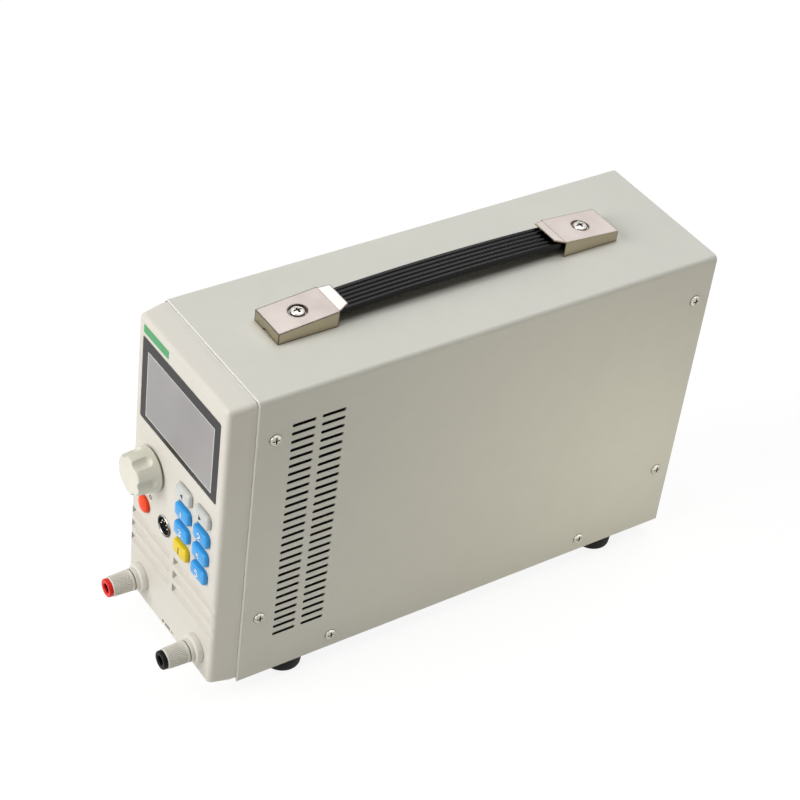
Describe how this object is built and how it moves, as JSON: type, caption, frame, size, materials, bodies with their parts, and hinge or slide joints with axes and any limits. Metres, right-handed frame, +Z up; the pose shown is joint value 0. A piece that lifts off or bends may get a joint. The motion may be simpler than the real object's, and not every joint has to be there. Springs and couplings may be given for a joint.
{
  "type": "dc electronic load",
  "caption": "Bench DC electronic load: tall sheet-steel case with vented sides, moulded front with display, knob, keys and binding posts, carrying strap on top, fan and inlet at the rear.",
  "frame": {"origin": "on the surface that the feet stand on, below the middle of the bounding box", "axes": "+Z up, the front panel faces -Y, +X to the right as seen from the front"},
  "size_m": [0.0846, 0.2874, 0.1841],
  "materials": {
    "shell_paint": "satin powder coat, light warm grey",
    "panel_plastic": "fine-textured moulding, off-white",
    "zinc_steel": "zinc plated",
    "nickel_plate": "bright nickel plate, slightly warm",
    "black_rubber": "matt",
    "strap_pvc": "soft black vinyl, ribbed",
    "window_glass": "clear window with a dark printed border",
    "display_grey": "unlit display",
    "circuit_board": "green solder mask",
    "mat_silicone": "silicone",
    "key_grey": "gloss, light grey",
    "key_blue": "gloss, blue",
    "key_yellow": "gloss, yellow",
    "key_red": "gloss, red",
    "white_plastic": "natural",
    "knob_plastic": "satin, light grey",
    "post_plastic": "satin, light grey",
    "brass": "turned brass",
    "red_plastic": "gloss, red",
    "black_plastic": "moulded, black",
    "alloy": "extruded, natural",
    "sleeve_plastic": "printed-free sleeve",
    "core_steel": "laminated steel, varnished",
    "copper_wire": "enamelled copper wire",
    "red_sheath": "cable sheath, red",
    "black_sheath": "cable sheath, black"
  },
  "bodies": {
    "root": {"case_cover": "shell_paint", "rear_panel": "shell_paint", "front_bezel": "panel_plastic", "bottom_tray": "zinc_steel", "front_plate": "zinc_steel", "panel_screws": "zinc_steel", "foot_screws": "zinc_steel", "fan_screws": "zinc_steel", "encoder_body": "zinc_steel", "cover_screws": "nickel_plate", "strap_cap_front": "nickel_plate", "strap_cap_rear": "nickel_plate", "strap_screws": "nickel_plate", "sense_socket": "nickel_plate", "post_nuts": "nickel_plate", "fan_guard": "nickel_plate", "serial_port": "nickel_plate", "rubber_feet": "black_rubber", "strap": "strap_pvc", "display_window": "window_glass", "display_module": "display_grey", "control_board": "circuit_board", "power_board": "circuit_board", "keypad_mat": "mat_silicone", "sense_insert": "black_plastic", "red_post_base": "post_plastic", "black_post_base": "post_plastic", "red_post_stud": "brass", "black_post_stud": "brass", "board_standoffs": "brass", "inlet_pins": "brass", "heat_sink": "alloy", "mosfets": "black_plastic", "capacitors": "sleeve_plastic", "transformer_core": "core_steel", "transformer_winding": "copper_wire", "red_lead": "red_sheath", "black_lead": "black_sheath", "fan_frame": "black_plastic", "mains_inlet": "black_plastic", "rocker_housing": "black_plastic"},
    "key_left": {"key_left": "key_grey"},
    "key_right": {"key_right": "key_grey"},
    "key_blue_1": {"key_blue_1": "key_blue"},
    "key_blue_2": {"key_blue_2": "key_blue"},
    "key_blue_3": {"key_blue_3": "key_blue"},
    "key_blue_4": {"key_blue_4": "key_blue"},
    "key_blue_5": {"key_blue_5": "key_blue"},
    "key_yellow": {"key_yellow": "key_yellow"},
    "key_red": {"key_red": "key_red"},
    "knob_push": {"encoder_plunger": "white_plastic"},
    "knob": {"knob": "knob_plastic", "encoder_shaft": "zinc_steel"},
    "red_tip": {"red_post_tip": "red_plastic"},
    "red_cap": {"red_post_cap": "post_plastic"},
    "black_tip": {"black_post_tip": "black_plastic"},
    "black_cap": {"black_post_cap": "post_plastic"},
    "fan": {"fan_rotor": "black_plastic"},
    "rocker": {"power_rocker": "black_plastic"},
    "fuse": {"fuse_drawer": "black_plastic"}
  },
  "joints": [
    {"name": "key_left_press", "type": "slide", "parent": "root", "child": "key_left", "axis": [0, 1, 0], "range_m": [0, 0.001], "stiffness_N_per_m": 600, "springref_m": -0.0005},
    {"name": "key_right_press", "type": "slide", "parent": "root", "child": "key_right", "axis": [0, 1, 0], "range_m": [0, 0.001], "stiffness_N_per_m": 600, "springref_m": -0.0005},
    {"name": "key_blue_1_press", "type": "slide", "parent": "root", "child": "key_blue_1", "axis": [0, 1, 0], "range_m": [0, 0.001], "stiffness_N_per_m": 600, "springref_m": -0.0005},
    {"name": "key_blue_2_press", "type": "slide", "parent": "root", "child": "key_blue_2", "axis": [0, 1, 0], "range_m": [0, 0.001], "stiffness_N_per_m": 600, "springref_m": -0.0005},
    {"name": "key_blue_3_press", "type": "slide", "parent": "root", "child": "key_blue_3", "axis": [0, 1, 0], "range_m": [0, 0.001], "stiffness_N_per_m": 600, "springref_m": -0.0005},
    {"name": "key_blue_4_press", "type": "slide", "parent": "root", "child": "key_blue_4", "axis": [0, 1, 0], "range_m": [0, 0.001], "stiffness_N_per_m": 600, "springref_m": -0.0005},
    {"name": "key_blue_5_press", "type": "slide", "parent": "root", "child": "key_blue_5", "axis": [0, 1, 0], "range_m": [0, 0.001], "stiffness_N_per_m": 600, "springref_m": -0.0005},
    {"name": "key_yellow_press", "type": "slide", "parent": "root", "child": "key_yellow", "axis": [0, 1, 0], "range_m": [0, 0.001], "stiffness_N_per_m": 600, "springref_m": -0.0005},
    {"name": "key_red_press", "type": "slide", "parent": "root", "child": "key_red", "axis": [0, 1, 0], "range_m": [0, 0.001], "stiffness_N_per_m": 600, "springref_m": -0.0005},
    {"name": "knob_press", "type": "slide", "parent": "root", "child": "knob_push", "axis": [0, 1, 0], "range_m": [0, 0.0005], "stiffness_N_per_m": 3000, "springref_m": -0.0003},
    {"name": "knob_turn", "type": "hinge", "parent": "knob_push", "child": "knob", "pos_m": [-0.0206, -0.13075, 0.0969], "axis": [0, -1, 0], "continuous": true},
    {"name": "red_tip_slide", "type": "slide", "parent": "root", "child": "red_tip", "axis": [0, -1, 0], "range_m": [0, 0.005]},
    {"name": "red_cap_turn", "type": "hinge", "parent": "red_tip", "child": "red_cap", "pos_m": [-0.0265, -0.13675, 0.0245], "axis": [0, -1, 0], "range_deg": [0, 1803]},
    {"name": "black_tip_slide", "type": "slide", "parent": "root", "child": "black_tip", "axis": [0, -1, 0], "range_m": [0, 0.005]},
    {"name": "black_cap_turn", "type": "hinge", "parent": "black_tip", "child": "black_cap", "pos_m": [0.0265, -0.13675, 0.0245], "axis": [0, -1, 0], "range_deg": [0, 1803]},
    {"name": "fan_spin", "type": "hinge", "parent": "root", "child": "fan", "pos_m": [0, 0.12425, 0.0525], "axis": [0, 1, 0], "continuous": true},
    {"name": "rocker_tip", "type": "hinge", "parent": "root", "child": "rocker", "pos_m": [-0.024, 0.13675, 0.1085], "axis": [1, 0, 0], "range_deg": [0, 22]},
    {"name": "fuse_pull", "type": "slide", "parent": "root", "child": "fuse", "axis": [0, 1, 0], "range_m": [0, 0.016]}
  ],
  "couplings": [
    {"joint": "red_cap_turn", "follows": "red_tip_slide", "rad_per_m": 6283.2},
    {"joint": "black_cap_turn", "follows": "black_tip_slide", "rad_per_m": 6283.2}
  ]
}
